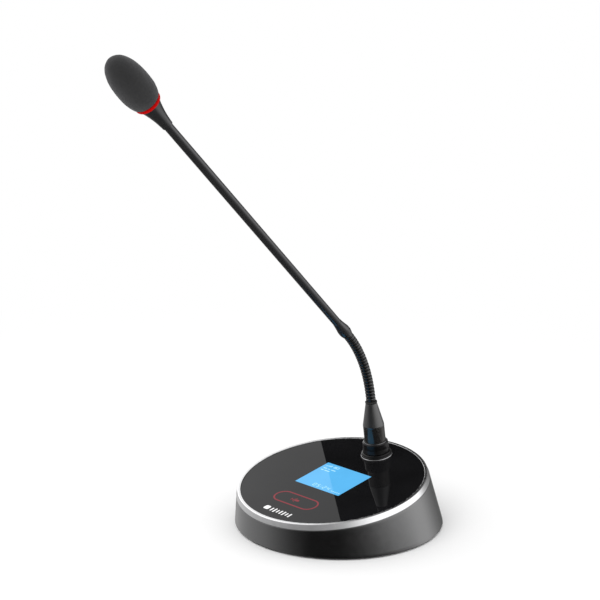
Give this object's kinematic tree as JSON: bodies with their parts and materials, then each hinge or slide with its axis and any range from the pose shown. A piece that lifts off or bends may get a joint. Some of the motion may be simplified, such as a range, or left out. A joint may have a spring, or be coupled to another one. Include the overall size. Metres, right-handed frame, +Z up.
{
  "type": "gooseneck microphone",
  "caption": "Desktop conference microphone: round slanted base with a glass top, display and talk key, plug-in gooseneck, light ring and foam windscreen.",
  "frame": {"origin": "centre of the base's underside, on the table", "axes": "+Z up, -Y towards the person who speaks, +X to that person's right-hand side seen from behind the unit"},
  "size_m": [0.16, 0.2972, 0.3781],
  "materials": {
    "base_paint": "satin graphite metallic paint on a die-cast shell",
    "rim_metal": "polished, two facets",
    "cover_glass": "glossy, printed black from behind",
    "screen": "lit sky-blue display under the glass",
    "key_light": "red translucent light guide",
    "black_plastic": "fine satin moulding",
    "black_metal": "semi-gloss black coating",
    "neck_metal": "matte black ribbed steel",
    "cone_paint": "satin dark grey",
    "steel": "plated",
    "brass": "plain",
    "contacts": "gold plated",
    "circuit_board": "green solder mask",
    "rubber": "matte",
    "capsule": "satin",
    "foam": "open-cell foam"
  },
  "bodies": {
    "base": {"base_shell": "base_paint", "rim_ring": "rim_metal", "glass_panel": "cover_glass", "panel_carrier": "steel", "display_screen": "screen", "display_frame": "steel", "talk_key_light_guide": "key_light", "talk_key_board": "circuit_board", "anti_slip_pad": "rubber", "bottom_cover": "black_metal", "cover_screw_1": "steel", "cover_screw_2": "steel", "cover_screw_3": "steel", "cover_screw_4": "steel", "ballast_plate": "steel", "main_board": "circuit_board", "board_standoff_1": "brass", "board_standoff_2": "brass", "board_standoff_3": "brass", "board_screw_1": "steel", "board_screw_2": "steel", "board_screw_3": "steel", "bus_in_jack": "black_plastic", "bus_out_jack": "black_plastic", "port_bezel": "black_plastic", "socket_flange": "black_metal", "socket_shell": "black_metal", "socket_insert": "black_plastic", "socket_nut": "brass"},
    "plug": {"plug_barrel": "black_metal", "plug_insert": "black_plastic", "plug_pin_1": "contacts", "plug_pin_2": "contacts", "plug_pin_3": "contacts", "plug_cone": "cone_paint", "neck_bush": "rubber"},
    "lock_ring": {"lock_collar": "black_metal"},
    "neck_1": {"neck_link_1": "neck_metal"},
    "neck_2": {"neck_link_2": "neck_metal"},
    "neck_3": {"neck_link_3": "neck_metal"},
    "neck_4": {"neck_link_4": "neck_metal"},
    "neck_5": {"neck_link_5": "neck_metal"},
    "neck_6": {"neck_link_6": "neck_metal"},
    "neck_7": {"neck_link_7": "neck_metal"},
    "neck_8": {"neck_link_8": "neck_metal"},
    "neck_9": {"neck_link_9": "neck_metal"},
    "neck_10": {"neck_link_10": "neck_metal"},
    "neck_11": {"neck_link_11": "neck_metal"},
    "boom": {"neck_link_12": "neck_metal", "neck_ferrule": "black_metal", "boom_tube": "black_metal", "boom_cable": "rubber", "head_holder": "black_plastic", "light_ring": "key_light", "light_ring_board": "circuit_board", "capsule_housing": "black_metal", "capsule_mount": "rubber", "mic_capsule": "capsule"},
    "windscreen": {"foam_windscreen": "foam"}
  },
  "joints": [
    {"name": "mic_unplug", "type": "slide", "parent": "base", "child": "plug", "axis": [0, -0.1537, 0.9881], "range_m": [0, 0.03]},
    {"name": "lock_collar_turn", "type": "hinge", "parent": "plug", "child": "lock_ring", "pos_m": [0, 0.0412, 0.05099], "axis": [0, -0.1537, 0.9881], "range_deg": [0, 90]},
    {"name": "neck_pitch_1", "type": "hinge", "parent": "plug", "child": "neck_1", "pos_m": [0, 0.0353, 0.08894], "axis": [1, 0, 0], "range_deg": [-14, 9]},
    {"name": "neck_side_1", "type": "hinge", "parent": "neck_1", "child": "neck_2", "pos_m": [0, 0.03439, 0.09433], "axis": [0, 0.9826, 0.1856], "range_deg": [-9, 9]},
    {"name": "neck_pitch_2", "type": "hinge", "parent": "neck_2", "child": "neck_3", "pos_m": [0, 0.03327, 0.09969], "axis": [1, 0, 0], "range_deg": [-14, 9]},
    {"name": "neck_side_2", "type": "hinge", "parent": "neck_3", "child": "neck_4", "pos_m": [0, 0.03193, 0.10499], "axis": [0, 0.9633, 0.2686], "range_deg": [-9, 9]},
    {"name": "neck_pitch_3", "type": "hinge", "parent": "neck_4", "child": "neck_5", "pos_m": [0, 0.03034, 0.11022], "axis": [1, 0, 0], "range_deg": [-14, 9]},
    {"name": "neck_side_3", "type": "hinge", "parent": "neck_5", "child": "neck_6", "pos_m": [0, 0.02848, 0.11537], "axis": [0, 0.932, 0.3625], "range_deg": [-9, 9]},
    {"name": "neck_pitch_4", "type": "hinge", "parent": "neck_6", "child": "neck_7", "pos_m": [0, 0.02637, 0.12041], "axis": [1, 0, 0], "range_deg": [-14, 9]},
    {"name": "neck_side_4", "type": "hinge", "parent": "neck_7", "child": "neck_8", "pos_m": [0, 0.02399, 0.12534], "axis": [0, 0.8876, 0.4605], "range_deg": [-9, 9]},
    {"name": "neck_pitch_5", "type": "hinge", "parent": "neck_8", "child": "neck_9", "pos_m": [0, 0.02133, 0.13012], "axis": [1, 0, 0], "range_deg": [-14, 9]},
    {"name": "neck_side_5", "type": "hinge", "parent": "neck_9", "child": "neck_10", "pos_m": [0, 0.01841, 0.13475], "axis": [0, 0.8295, 0.5586], "range_deg": [-9, 9]},
    {"name": "neck_pitch_6", "type": "hinge", "parent": "neck_10", "child": "neck_11", "pos_m": [0, 0.01523, 0.13919], "axis": [1, 0, 0], "range_deg": [-14, 9]},
    {"name": "neck_side_6", "type": "hinge", "parent": "neck_11", "child": "boom", "pos_m": [0, 0.01178, 0.14344], "axis": [0, 0.7571, 0.6533], "range_deg": [-9, 9]},
    {"name": "windscreen_pull", "type": "slide", "parent": "boom", "child": "windscreen", "axis": [0, -0.6984, 0.7157], "range_m": [0, 0.045]}
  ],
  "couplings": [
    {"joint": "neck_pitch_2", "follows": "neck_pitch_1", "ratio": 1},
    {"joint": "neck_side_2", "follows": "neck_side_1", "ratio": 1},
    {"joint": "neck_pitch_3", "follows": "neck_pitch_1", "ratio": 1},
    {"joint": "neck_side_3", "follows": "neck_side_1", "ratio": 1},
    {"joint": "neck_pitch_4", "follows": "neck_pitch_1", "ratio": 1},
    {"joint": "neck_side_4", "follows": "neck_side_1", "ratio": 1},
    {"joint": "neck_pitch_5", "follows": "neck_pitch_1", "ratio": 1},
    {"joint": "neck_side_5", "follows": "neck_side_1", "ratio": 1},
    {"joint": "neck_pitch_6", "follows": "neck_pitch_1", "ratio": 1},
    {"joint": "neck_side_6", "follows": "neck_side_1", "ratio": 1}
  ]
}
